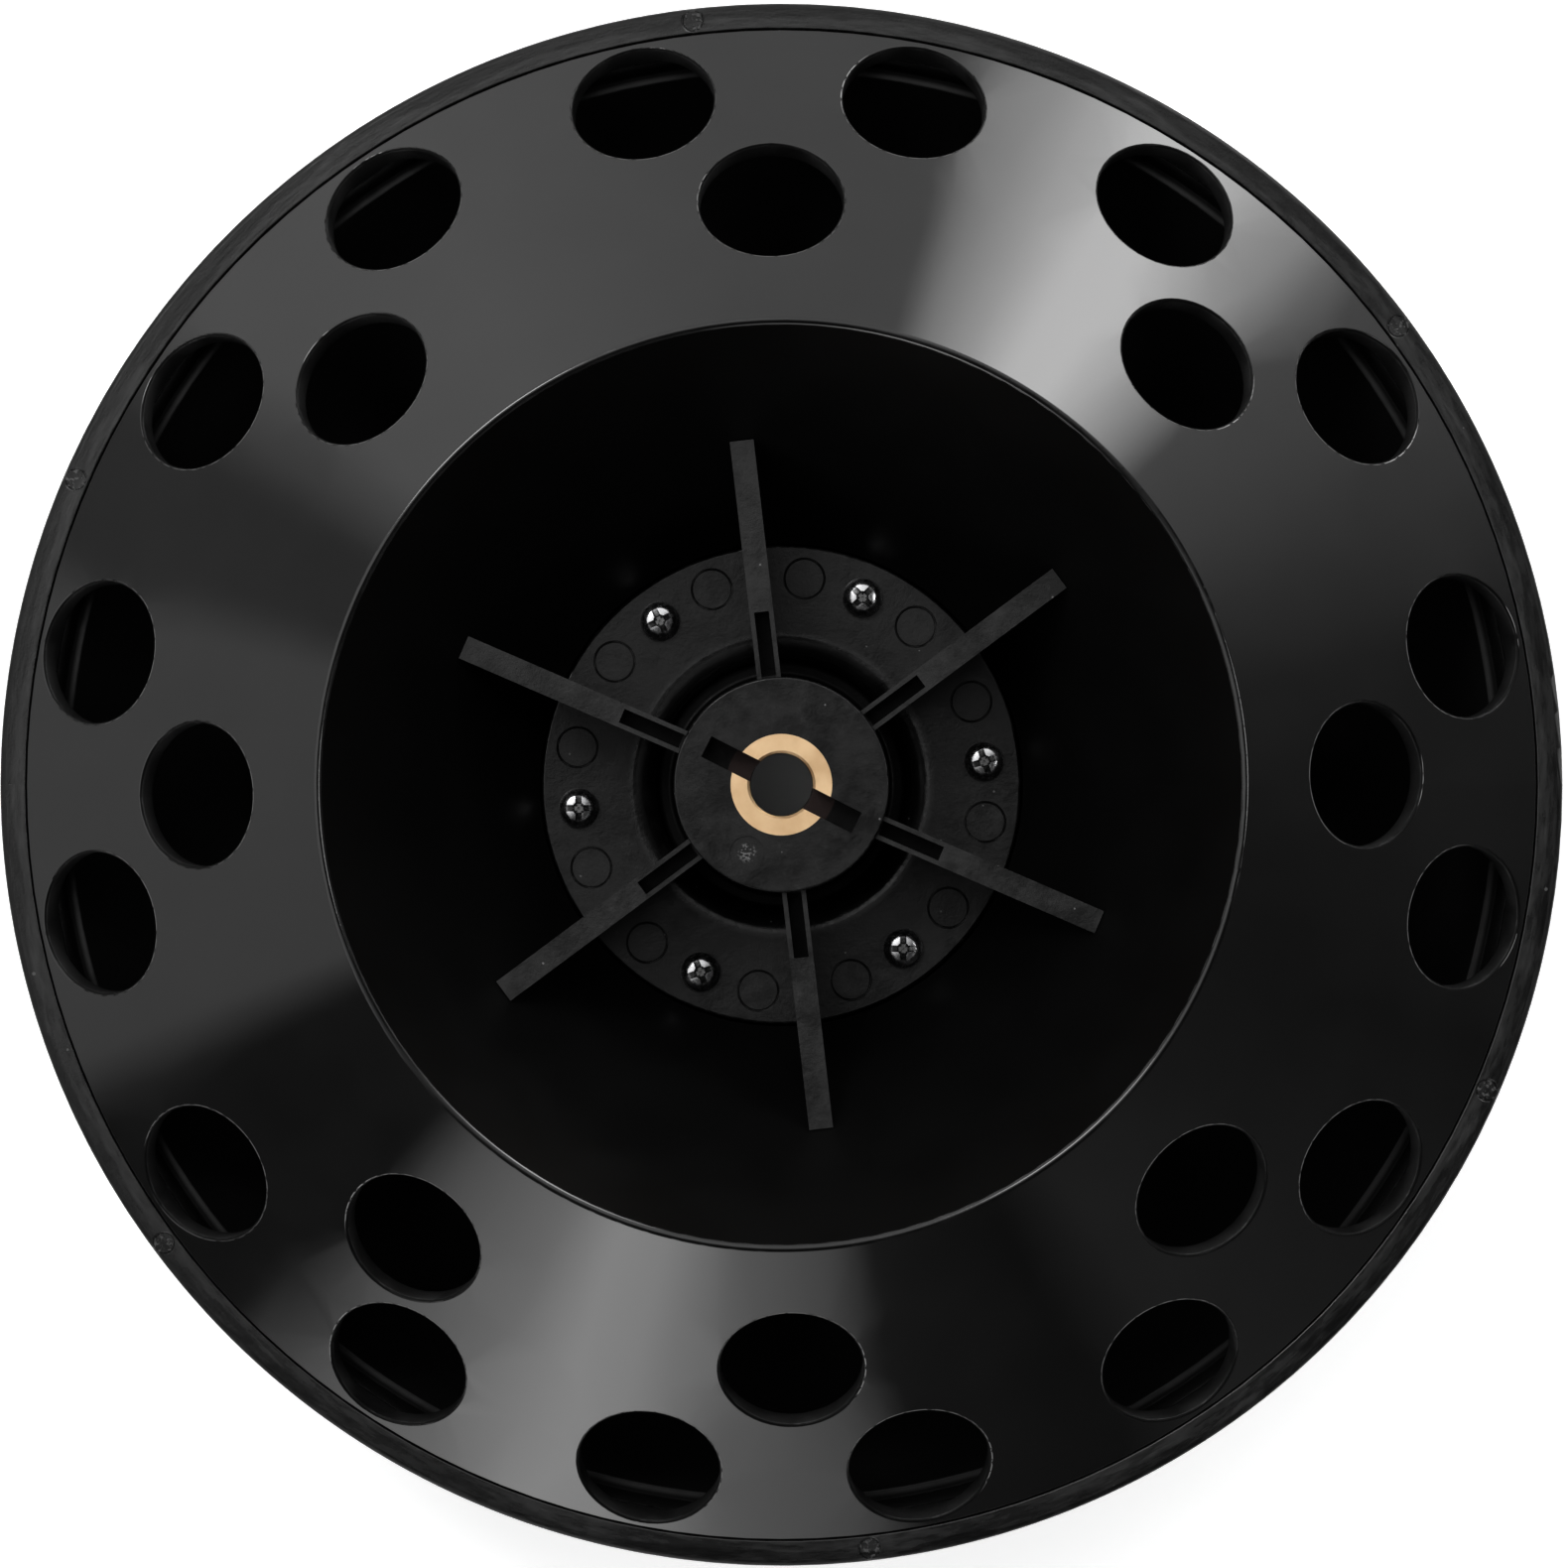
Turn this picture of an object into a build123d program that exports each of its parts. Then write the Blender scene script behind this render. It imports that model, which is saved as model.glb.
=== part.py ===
from build123d import *
import os
from math import cos, radians, tan

# Fixed angle rotor for a small bench centrifuge, lying on its mouth side, so that the drive
# side, with its cone of tube holes, its well and its drive hub, looks up.
# Z is the spin axis, and z = 0 is the plane of the crest ring that the rotor rests on.
# Profiles are drawn as (radius, h), where h is the height over the rim plane: the plane in
# which the rim's flat top face and the outer edge of the lower shell lie.
# "Lower" and "upper" name the shells as they sit in the centrifuge.
# Lengths are millimetres, angles are degrees.

# ---- tubes ---------------------------------------------------------------------------------
TUBE_TILT = 35.0              # between a tube and the spin axis
TUBE_HOLE_D = 20.2            # mouth and bottom hole of each tube station
CHANNEL_LENGTH = 61.4         # along a tube, from the mouth deck to the lower cone
TUBE_GAP = 0.7                # between a tube's channel and the inside of the rim

INNER_RING_R = 82.3           # centres of the inner bottom holes, on the lower cone
INNER_RING_COUNT = 8
INNER_RING_START = 1.0
OUTER_RING_COUNT = 16
OUTER_RING_START = 11.5
RING_WEB = 0.187              # along the cone, between the inner ring's holes and the outer's
SHIFTED_STATION = 5           # this one of the inner stations sits off the even pitch
SHIFTED_STATION_TURN = 4.9

# ---- shells --------------------------------------------------------------------------------
SHELL_WALL = 2.5              # both shells, across the wall
EDGE_WEB = 0.8765             # on the cone, outside the outer holes
RIM_HEIGHT = 7.0
RIM_LIP_WIDTH = 3.65          # flat top face of the rim
RIM_EDGE_ROUND = 0.8
SEAM_GAP = 0.2                # between the rim's lip and the lower shell
SEAT_DEPTH = 3.2              # the lower shell's edge stands this deep in the rim
LEDGE_WIDTH = 1.5             # ledge inside the rim, on top of the skirt
SKIRT_WALL = 3.15             # across the wall
SKIRT_ROUND = 1.5             # fillet between the rim's underside and the skirt
CREST_CUT = 1.0               # the sharp crest is cut flat by this, which makes the rest ring
CREST_ROUND = 0.5
INSIDE_ROUND = 1.5            # fillets inside the shells
WELL_TILT = 34.3              # between the well wall and the spin axis
WELL_EDGE_ROUND = 0.75        # corner between the lower cone and the well
WELL_LIP_WIDTH = 4.7          # inward lip at the well's foot, clamped by the flange
RECESS_RISE = 0.56            # the flange's recess cuts into the well wall up to this height
HOLE_EDGE_ROUND = 0.4         # the bottom holes' edges in the lower cone
RIM_MARK_D = 3.1              # ejector pin marks in the rim's top face
RIM_MARK_DEPTH = 0.15

# ---- centre plate of the upper shell, with screw bosses --------------------------------------
PLATE_THICKNESS = 3.5
PLATE_EDGE = 0.4              # plate outside the bosses, where the mouth deck starts
BOSS_D = 8.0                  # up to the shoulder that the lower shell's lip rests on
BOSS_NECK_D = 6.2             # from the shoulder up to the flange
BOSS_HEIGHT = 3.935           # from the plate to the flange
BOSS_GAP = 0.2                # round the necks, in the lip's scallops

# ---- brass bush and drive slot -----------------------------------------------------------------
SHAFT_BORE_D = 9.0
BUSH_NECK_WALL = 2.7          # the ring seen in the tower's top
BUSH_STEP = 0.75              # the body, moulded in, is wider than neck and waist
BUSH_NECK_LENGTH = 2.0
BUSH_WAIST_LENGTH = 3.0       # groove that locks the bush in the plastic
BUSH_EDGE_ROUND = 0.35
SLOT_WIDTH = 3.26
SLOT_LENGTH = 23.9
SLOT_DEPTH = 6.0
SLOT_ANGLE = -27.0

# ---- drive hub -----------------------------------------------------------------------------
TOWER_WALL = 7.32             # from the bush's body to the tower's side
TOWER_DRAFT = 1.0
TOWER_HEIGHT = 23.1           # over the flange
TOWER_EDGE_ROUND = 0.3
GROOVE_WIDTH = 2.93           # round the tower
GROOVE_FLOOR = 2.4            # plastic under the groove
SHOULDER_ROUND = 3.4          # from the groove's wall to the flange face
DISH_WALL = 3.3               # round the groove, under the flange
FLANGE_THICKNESS = 3.0
FLANGE_EDGE = 5.1             # flange outside the screw circle
FLANGE_GAP = 0.4              # round the flange, in its recess
SPIGOT_WALL = 3.05            # from the bush's body to the hole in the centre plate
SPIGOT_GAP = 0.2
PLATE_GAP = 0.3               # between the hub's dish and the centre plate
HUB_MARK_D = 5.8              # ejector pin marks in the flange
HUB_MARK_DEPTH = 0.2
HUB_MARK_EDGE = 4.6           # from the flange's edge
HUB_MARK_TURN = 13.0          # to each side of a fin
DATE_MARK_D = 5.0             # round mould insert mark in the tower's top
DATE_MARK_EDGE = 4.37         # from the tower's edge
DATE_MARK_ANGLE = -116.5
FIN_COUNT = 6
FIN_START = 36.6
FIN_WIDTH = 3.4
FIN_HEIGHT = 21.6             # over the flange
FIN_GAP = 0.3                 # between a fin's slanting edge and the well wall
FIN_POCKET_WIDTH = 2.1
FIN_POCKET_LENGTH = 9.43
FIN_POCKET_DEPTH = 5.0

# ---- screws ------------------------------------------------------------------------------------
SCREW_START = 6.6             # midway between fins
SCREW_FROM_GROOVE = 11.4      # screw circle outside the groove
SCREW_D = 3.0
SCREW_TIP_GAP = 0.7           # from the screw's tip to the insert's foot
SCREW_HEAD_D = 5.8
SCREW_HEAD_HEIGHT = 2.2
SCREW_HEAD_ROUND = 1.0
SCREW_GAP = 0.2               # round the shank, in the flange
THREAD_GAP = 0.03             # round the shank, in the insert
RECESS_ARM_WIDTH = 0.75       # cross recess
RECESS_ARM_LENGTH = 3.3
RECESS_DEPTH = 1.3
INSERT_D = 4.6
INSERT_LENGTH = 5.7

# ---- heights and radii that follow ---------------------------------------------------------------
TILT_TAN = tan(radians(TUBE_TILT))
TILT_COS = cos(radians(TUBE_TILT))
WELL_TAN = tan(radians(WELL_TILT))
TUBE_HOLE_R = TUBE_HOLE_D / 2
OUTER_RING_R = INNER_RING_R + (TUBE_HOLE_D + RING_WEB) * TILT_COS
SHELL_EDGE_R = OUTER_RING_R + TUBE_HOLE_R * TILT_COS + EDGE_WEB
LIP_R = SHELL_EDGE_R + SEAM_GAP
RIM_R = LIP_R + RIM_LIP_WIDTH
BUSH_NECK_R = SHAFT_BORE_D / 2 + BUSH_NECK_WALL
BUSH_BODY_R = BUSH_NECK_R + BUSH_STEP
SPIGOT_R = BUSH_BODY_R + SPIGOT_WALL
TOWER_R = BUSH_BODY_R + TOWER_WALL
GROOVE_R = TOWER_R + GROOVE_WIDTH
DISH_R = GROOVE_R + DISH_WALL
SCREW_CIRCLE_R = GROOVE_R + SCREW_FROM_GROOVE
FLANGE_R = SCREW_CIRCLE_R + FLANGE_EDGE
RECESS_R = FLANGE_R + FLANGE_GAP
PLATE_R = SCREW_CIRCLE_R + BOSS_D / 2 + PLATE_EDGE  # where the mouth deck meets the plate
FIN_PITCH = 360 / FIN_COUNT
OVERRUN = 5.0                                       # cutters run past what they cut


def cone_h(radius):
    """Height of the lower cone's outer face, which is square to the tubes."""
    return (SHELL_EDGE_R - radius) * TILT_TAN


def deck_h(radius):
    """Height of the mouth deck's outer face, parallel to the lower cone."""
    return cone_h(radius) - CHANNEL_LENGTH / TILT_COS


def skirt_in_r(height):
    """Inside radius of the upper shell's skirt: the outer tubes' channels plus their gap."""
    centre = OUTER_RING_R + (height - cone_h(OUTER_RING_R)) * TILT_TAN
    return centre + (TUBE_HOLE_R + TUBE_GAP) / TILT_COS


def skirt_out_r(height):
    """Outside radius of the upper shell's skirt."""
    return skirt_in_r(height) + SKIRT_WALL / TILT_COS


def corner_with_cone(radius_at_zero, slope, cone_at_zero):
    """Where a wall that widens upwards by `slope` meets a cone line: both are given at h = 0."""
    height = (cone_at_zero - radius_at_zero * TILT_TAN) / (1 + slope * TILT_TAN)
    return radius_at_zero + height * slope, height


WALL_RISE = SHELL_WALL / TILT_COS                   # a cone wall's thickness, measured upright
CREST_TIP_H = corner_with_cone(skirt_out_r(0), TILT_TAN, deck_h(0))[1]
CREST_H = CREST_TIP_H + CREST_CUT                   # the plane that the rotor rests on
PLATE_MOUTH_H = deck_h(PLATE_R)
PLATE_INNER_H = PLATE_MOUTH_H + PLATE_THICKNESS
DISH_UNDER_H = PLATE_INNER_H + PLATE_GAP            # underside of the hub, inside the shells
GROOVE_H = DISH_UNDER_H + GROOVE_FLOOR
FLOOR_H = PLATE_INNER_H + BOSS_HEIGHT               # the lip's top, under the flange
FLOOR_UNDER_H = FLOOR_H - SHELL_WALL
FLANGE_FACE_H = FLOOR_H + FLANGE_THICKNESS
TOWER_TOP = FLANGE_FACE_H + TOWER_HEIGHT
FIN_TOP = FLANGE_FACE_H + FIN_HEIGHT
RECESS_TOP_H = FLANGE_FACE_H + RECESS_RISE


def well_r(height):
    """Radius of the well wall, which widens upwards from the flange's recess."""
    return RECESS_R + (height - RECESS_TOP_H) * WELL_TAN


def well_back_r(height):
    """Radius of the well wall's back, inside the shells."""
    return well_r(height) + SHELL_WALL / cos(radians(WELL_TILT))


WELL_EDGE_R, WELL_EDGE_H = corner_with_cone(well_r(0), WELL_TAN, cone_h(0))


def revolved(outline, rounds):
    """Solid of revolution from (radius, h) corners, each with its own rounding radius."""
    points = [(radius, 0, height) for radius, height in outline]
    edge = FilletPolyline(*points, radius=rounds, close=True)
    return revolve(make_face(edge), Axis.Z)


def around(shape, angles):
    """Copies of a shape turned about the spin axis."""
    return [Rot(0, 0, angle) * shape for angle in angles]


def post(radius, bottom, top, at=0.0):
    """Upright cylinder between two heights, standing at radius `at`."""
    return Pos(at, 0, (bottom + top) / 2) * Cylinder(radius, top - bottom)


def station_angles():
    """(ring radius, azimuth) of every tube station."""
    outer_pitch = 360 / OUTER_RING_COUNT
    inner_pitch = 360 / INNER_RING_COUNT
    stations = []
    for index in range(OUTER_RING_COUNT):
        stations.append((OUTER_RING_R, OUTER_RING_START + index * outer_pitch))
    for index in range(INNER_RING_COUNT):
        turn = SHIFTED_STATION_TURN if index == SHIFTED_STATION else 0.0
        stations.append((INNER_RING_R, INNER_RING_START + index * inner_pitch + turn))
    return stations


def tube_channels():
    """Cutters along the tubes, from under the mouth deck to over the lower cone."""
    length = CHANNEL_LENGTH + 2 * OVERRUN
    channels = []
    for ring_r, azimuth in station_angles():
        middle = Pos(ring_r, 0, cone_h(ring_r)) * Rot(0, TUBE_TILT, 0) * Pos(0, 0, -CHANNEL_LENGTH / 2)
        channels.append(Rot(0, 0, azimuth) * middle * Cylinder(TUBE_HOLE_R, length))
    return channels


def fin_angles():
    return [FIN_START + index * FIN_PITCH for index in range(FIN_COUNT)]


def screw_angles():
    return [SCREW_START + index * FIN_PITCH for index in range(FIN_COUNT)]


def bottom_hole_edges(shell):
    """The edges that the tube channels leave in the lower cone's outer face."""
    edges = []
    for edge in shell.edges().filter_by(GeomType.BSPLINE):
        point = edge @ 0.5
        if abs(point.Z - cone_h((point.X ** 2 + point.Y ** 2) ** 0.5)) < 0.01:
            edges.append(edge)
    return edges


def lower_shell():
    """Glossy shell: cone with the bottom holes, well wall, and the lip that the flange clamps."""
    foot_in_r = skirt_in_r(-SEAT_DEPTH)
    cone_under_zero = cone_h(0) - WALL_RISE
    back_corner_r, back_corner_h = corner_with_cone(well_back_r(0), WELL_TAN, cone_under_zero)
    seat_back_r = RECESS_R + SHELL_WALL
    seat_back_h = (seat_back_r - well_back_r(0)) / WELL_TAN
    lip_in_r = RECESS_R - WELL_LIP_WIDTH
    outline = [
        (lip_in_r, FLOOR_H),
        (RECESS_R, FLOOR_H),
        (RECESS_R, RECESS_TOP_H),
        (WELL_EDGE_R, WELL_EDGE_H),
        (SHELL_EDGE_R, 0),
        (SHELL_EDGE_R, -SEAT_DEPTH),
        (foot_in_r, -SEAT_DEPTH),
        (foot_in_r, cone_h(foot_in_r) - WALL_RISE),
        (back_corner_r, back_corner_h),
        (seat_back_r, seat_back_h),
        (seat_back_r, FLOOR_UNDER_H),
        (lip_in_r, FLOOR_UNDER_H),
    ]
    rounds = [0, 0.4, 0.4, WELL_EDGE_ROUND, 0.3, 0, 0, 0.3, INSIDE_ROUND, INSIDE_ROUND, INSIDE_ROUND, 0]
    shell = revolved(outline, rounds)
    shell -= tube_channels()
    shell = fillet(bottom_hole_edges(shell), HOLE_EDGE_ROUND)
    scallop_r = BOSS_NECK_D / 2 + BOSS_GAP
    scallop = post(scallop_r, FLOOR_UNDER_H - OVERRUN, FLOOR_H + OVERRUN, SCREW_CIRCLE_R)
    shell -= around(scallop, screw_angles())
    return shell


def upper_shell():
    """Matte shell: rim, skirt, funnel deck with the tube mouths, and centre plate with bosses."""
    deck_inner = deck_h(0) + WALL_RISE
    inner_corner_r, inner_corner_h = corner_with_cone(skirt_in_r(0), TILT_TAN, deck_inner)
    ledge_in_r = skirt_in_r(-RIM_HEIGHT)
    plate_inner_r = (deck_inner - PLATE_INNER_H) / TILT_TAN
    crest_in_r = (deck_h(0) - CREST_H) / TILT_TAN
    hole_r = SPIGOT_R + SPIGOT_GAP
    outline = [
        (hole_r, PLATE_MOUTH_H),
        (PLATE_R, PLATE_MOUTH_H),
        (crest_in_r, CREST_H),
        (skirt_out_r(CREST_H), CREST_H),
        (skirt_out_r(-RIM_HEIGHT), -RIM_HEIGHT),
        (RIM_R, -RIM_HEIGHT),
        (RIM_R, 0),
        (LIP_R, 0),
        (LIP_R, -SEAT_DEPTH),
        (skirt_in_r(-SEAT_DEPTH), -SEAT_DEPTH),
        (ledge_in_r + LEDGE_WIDTH, -RIM_HEIGHT),
        (ledge_in_r, -RIM_HEIGHT),
        (inner_corner_r, inner_corner_h),
        (plate_inner_r, PLATE_INNER_H),
        (hole_r, PLATE_INNER_H),
    ]
    rounds = [
        0.3, INSIDE_ROUND, CREST_ROUND, CREST_ROUND, SKIRT_ROUND, RIM_EDGE_ROUND, RIM_EDGE_ROUND,
        0.2, 0, 0.3, 0.2, 0.3, INSIDE_ROUND, INSIDE_ROUND, 0,
    ]
    shell = revolved(outline, rounds)
    shell -= tube_channels()
    boss_foot_h = PLATE_INNER_H - PLATE_THICKNESS / 2
    boss = post(BOSS_D / 2, boss_foot_h, FLOOR_UNDER_H, SCREW_CIRCLE_R)
    boss += post(BOSS_NECK_D / 2, boss_foot_h, FLOOR_H, SCREW_CIRCLE_R)
    shell += around(boss, screw_angles())
    insert_hole = post(INSERT_D / 2, FLOOR_H - INSERT_LENGTH, FLOOR_H + OVERRUN, SCREW_CIRCLE_R)
    shell -= around(insert_hole, screw_angles())
    rim_mark = post(RIM_MARK_D / 2, -RIM_MARK_DEPTH, OVERRUN, (LIP_R + RIM_R) / 2)
    shell -= around(rim_mark, fin_angles())
    return shell


def drive_slot():
    """Cutter for the slot that takes the shaft's cross pin, across tower and bush."""
    bottom = TOWER_TOP - SLOT_DEPTH
    stand = (Align.CENTER, Align.CENTER, Align.MIN)
    bar = Box(SLOT_LENGTH, SLOT_WIDTH, SLOT_DEPTH + OVERRUN, align=stand)
    return Pos(0, 0, bottom) * Rot(0, 0, SLOT_ANGLE) * bar


def bush_blank():
    """The bush without its bore: neck, body and locking waist."""
    bottom = PLATE_MOUTH_H
    neck_h = TOWER_TOP - BUSH_NECK_LENGTH
    waist_top_h = (neck_h + bottom) / 2 + BUSH_WAIST_LENGTH / 2
    waist_bottom_h = waist_top_h - BUSH_WAIST_LENGTH
    outline = [
        (0, bottom),
        (BUSH_BODY_R, bottom),
        (BUSH_BODY_R, waist_bottom_h),
        (BUSH_NECK_R, waist_bottom_h),
        (BUSH_NECK_R, waist_top_h),
        (BUSH_BODY_R, waist_top_h),
        (BUSH_BODY_R, neck_h),
        (BUSH_NECK_R, neck_h),
        (BUSH_NECK_R, TOWER_TOP),
        (0, TOWER_TOP),
    ]
    return revolved(outline, [0] * len(outline))


def hub_bush():
    """Brass bush: shaft bore right through, rounded edge at the top, cut by the drive slot."""
    bush = bush_blank()
    bore_r = SHAFT_BORE_D / 2
    bush -= post(bore_r, PLATE_MOUTH_H - OVERRUN, TOWER_TOP + OVERRUN)
    top_edges = bush.edges().filter_by(GeomType.CIRCLE).group_by(Axis.Z)[-1]
    bush = chamfer(top_edges.sort_by(SortBy.RADIUS)[0], BUSH_EDGE_ROUND)
    bush -= drive_slot()
    return bush


def hub_fin():
    """One fin in the plane of azimuth 0, its slanting edge along the well wall."""
    root_r = TOWER_R / 2
    root_h = DISH_UNDER_H + GROOVE_FLOOR / 2
    step_r = DISH_R - DISH_WALL / 2
    step_h = FLANGE_FACE_H - FLANGE_THICKNESS / 2
    foot_r = well_r(FLANGE_FACE_H) - FIN_GAP
    profile = Polyline(
        (root_r, 0, root_h),
        (step_r, 0, root_h),
        (step_r, 0, step_h),
        (foot_r, 0, step_h),
        (foot_r, 0, FLANGE_FACE_H),
        (well_r(FIN_TOP) - FIN_GAP, 0, FIN_TOP),
        (root_r, 0, FIN_TOP),
        close=True,
    )
    return extrude(make_face(profile), FIN_WIDTH / 2, both=True)


def hub_body():
    """Revolved form of the hub: flange, shoulder, groove, tower and spigot."""
    tower_foot_r = TOWER_R + (TOWER_TOP - GROOVE_H) * tan(radians(TOWER_DRAFT))
    outline = [
        (0, PLATE_MOUTH_H),
        (SPIGOT_R, PLATE_MOUTH_H),
        (SPIGOT_R, DISH_UNDER_H),
        (DISH_R, DISH_UNDER_H),
        (DISH_R, FLOOR_H),
        (FLANGE_R, FLOOR_H),
        (FLANGE_R, FLANGE_FACE_H),
        (GROOVE_R, FLANGE_FACE_H),
        (GROOVE_R, GROOVE_H),
        (tower_foot_r, GROOVE_H),
        (TOWER_R, TOWER_TOP),
        (0, TOWER_TOP),
    ]
    rounds = [0, 0.3, 0, 0.5, 0, 0, 0.3, SHOULDER_ROUND, 0.8, 0.8, TOWER_EDGE_ROUND, 0]
    return revolved(outline, rounds)


def drive_hub():
    """Matte hub: body with six fins, their pockets, moulding marks, screw holes and bush seat."""
    hub = hub_body() + around(hub_fin(), fin_angles())
    stand = (Align.MIN, Align.CENTER, Align.MIN)
    pocket = Box(FIN_POCKET_LENGTH, FIN_POCKET_WIDTH, FIN_POCKET_DEPTH + OVERRUN, align=stand)
    hub -= around(Pos(TOWER_R, 0, FIN_TOP - FIN_POCKET_DEPTH) * pocket, fin_angles())
    mark_floor_h = FLANGE_FACE_H - HUB_MARK_DEPTH
    mark = post(HUB_MARK_D / 2, mark_floor_h, FLANGE_FACE_H + HUB_MARK_DEPTH, FLANGE_R - HUB_MARK_EDGE)
    for side in (-HUB_MARK_TURN, HUB_MARK_TURN):
        hub -= around(Rot(0, 0, side) * mark, fin_angles())
    date_floor_h = TOWER_TOP - HUB_MARK_DEPTH
    date_mark = post(DATE_MARK_D / 2, date_floor_h, TOWER_TOP + OVERRUN, TOWER_R - DATE_MARK_EDGE)
    hub -= Rot(0, 0, DATE_MARK_ANGLE) * date_mark
    hole_r = SCREW_D / 2 + SCREW_GAP
    screw_hole = post(hole_r, FLOOR_H - OVERRUN, FLANGE_FACE_H + OVERRUN, SCREW_CIRCLE_R)
    hub -= around(screw_hole, screw_angles())
    hub -= bush_blank()
    hub -= drive_slot()
    return hub


def hub_screw():
    """Pan head screw with a cross recess, seated on the flange."""
    head_top = FLANGE_FACE_H + SCREW_HEAD_HEIGHT
    tip = FLOOR_H - INSERT_LENGTH + SCREW_TIP_GAP
    head_r = SCREW_HEAD_D / 2
    shank_r = SCREW_D / 2
    outline = [
        (0, tip),
        (shank_r, tip),
        (shank_r, FLANGE_FACE_H),
        (head_r, FLANGE_FACE_H),
        (head_r, head_top),
        (0, head_top),
    ]
    screw = revolved(outline, [0, 0.4, 0, 0, SCREW_HEAD_ROUND, 0])
    hang = (Align.CENTER, Align.CENTER, Align.MAX)
    arm = Box(RECESS_ARM_LENGTH, RECESS_ARM_WIDTH, RECESS_DEPTH, align=hang)
    recess = arm + Rot(0, 0, 90) * arm
    return Pos(SCREW_CIRCLE_R, 0, 0) * (screw - Pos(0, 0, head_top) * recess)


def screw_insert():
    """Brass insert set into a boss of the centre plate, flush with the boss."""
    foot_h = FLOOR_H - INSERT_LENGTH
    tube = post(INSERT_D / 2, foot_h, FLOOR_H, SCREW_CIRCLE_R)
    hole = post(SCREW_D / 2 + THREAD_GAP, foot_h - OVERRUN, FLOOR_H + OVERRUN, SCREW_CIRCLE_R)
    return tube - hole


def write_node(name, shapes):
    """Lift a node's solids from the rim plane onto the resting plane, and write its STEP."""
    solids = []
    for shape in shapes:
        solids += (Pos(0, 0, -CREST_H) * shape).solids()
    node = solids[0] if len(solids) == 1 else Compound(children=solids)
    node.label = name
    export_step(node, os.path.join("parts", name + ".step"))


os.makedirs("parts", exist_ok=True)
write_node("upper_shell", [upper_shell()])
write_node("lower_shell", [lower_shell()])
write_node("drive_hub", [drive_hub()])
write_node("hub_bush", [hub_bush()])
write_node("hub_screws", around(hub_screw(), screw_angles()))
write_node("screw_inserts", around(screw_insert(), screw_angles()))
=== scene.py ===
import math

import bmesh
import bpy
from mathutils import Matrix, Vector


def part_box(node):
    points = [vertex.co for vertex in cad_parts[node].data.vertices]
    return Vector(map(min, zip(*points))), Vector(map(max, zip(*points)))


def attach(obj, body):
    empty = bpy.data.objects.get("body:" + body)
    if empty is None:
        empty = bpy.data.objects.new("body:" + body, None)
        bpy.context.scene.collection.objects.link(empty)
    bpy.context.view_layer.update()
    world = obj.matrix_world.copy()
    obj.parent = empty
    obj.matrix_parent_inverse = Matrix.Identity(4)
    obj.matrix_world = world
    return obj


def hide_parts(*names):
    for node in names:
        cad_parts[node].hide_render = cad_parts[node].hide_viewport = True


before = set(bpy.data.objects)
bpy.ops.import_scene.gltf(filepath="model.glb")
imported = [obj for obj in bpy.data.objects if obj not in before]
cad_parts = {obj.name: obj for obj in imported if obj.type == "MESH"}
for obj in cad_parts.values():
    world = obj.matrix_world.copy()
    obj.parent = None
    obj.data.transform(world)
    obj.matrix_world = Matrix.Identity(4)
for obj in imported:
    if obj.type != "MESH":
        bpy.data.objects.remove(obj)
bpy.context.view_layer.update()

# Metres throughout, unless a note says millimetres. The rotor lies on its mouth side, spin
# axis on Z, drive side up.

MM = 0.001

# ---- places read from the frame --------------------------------------------------------
SHELL_LOW, SHELL_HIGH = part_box("upper_shell")
RIM_Z = SHELL_HIGH[2]
RIM_R = (SHELL_HIGH[0] - SHELL_LOW[0]) / 2
TOWER_TOP_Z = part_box("drive_hub")[1][2]
SCREW_TIP_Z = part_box("hub_screws")[0][2]

# ---- sizes of the rotor, in millimetres and degrees ------------------------------------
# Heights (H) are over the rim plane.
TUBE_TILT = 35.0              # the lower cone slopes by this
WELL_TILT = 34.3              # between the well wall and the spin axis
WELL_EDGE_R = 64.27           # sharp corner of cone and well, before its rounding
WELL_EDGE_H = 30.72
WELL_EDGE_ROUND = 0.75
SHELL_EDGE_R = 108.15         # outer edge of the lower cone, on the rim plane
SKIRT_IN_R = 107.70           # inside of the skirt, on the rim plane
LEDGE_SHINE_R = 103.2         # painted highlight line along the ledge inside the rim
DECK_DROP = 74.95             # from the lower cone down to the mouth deck, measured upright
INSIDE_DEPTH = 3.5            # the upper shell's inside starts here, just under the seat
FLANGE_FACE_H = -12.6
FIN_TOP_H = 9.0
FIN_START = 36.6
FIN_PITCH = 60.0
OFF_TOWER_R = 15.6            # outside the tower, but for its drafted foot
SLOT_REACH = 14.9             # the slot lies within this radius
RIM_EDGE_ROUND = 0.8
# how much a face's normal points along the tube, or upright for the rim's corners
WALL_ALONG = 0.4              # less than this on a channel's wall
EDGE_ALONG = 0.975            # less than this on a hole's edge, and more on the cone
CORNER_UP = (0.06, 0.998)     # between these on a rounded corner

# ejector marks, and the round insert in the tower's top
RIM_MARK_R = 110.175          # the rim's marks lie on this circle, in line with the fins
RIM_MARK_D = 3.1
RIM_MARK_LINE = (0.07, 0.16)  # half the outline's width: full, and faded out
HUB_MARK_R = 30.1             # the flange's marks lie on this circle
HUB_MARK_TURN = 13.0          # to each side of a fin
HUB_MARK_D = 5.8
HUB_MARK_LINE = (0.085, 0.17)
HUB_MARK_FACE = (2.0, 2.8)    # the rubbed middle of a mark ends between these radii
DATE_MARK_R = 10.9
DATE_MARK_ANGLE = -116.5
DATE_FIELD = (0.9, 1.5)       # its specks end between these radii
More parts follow.
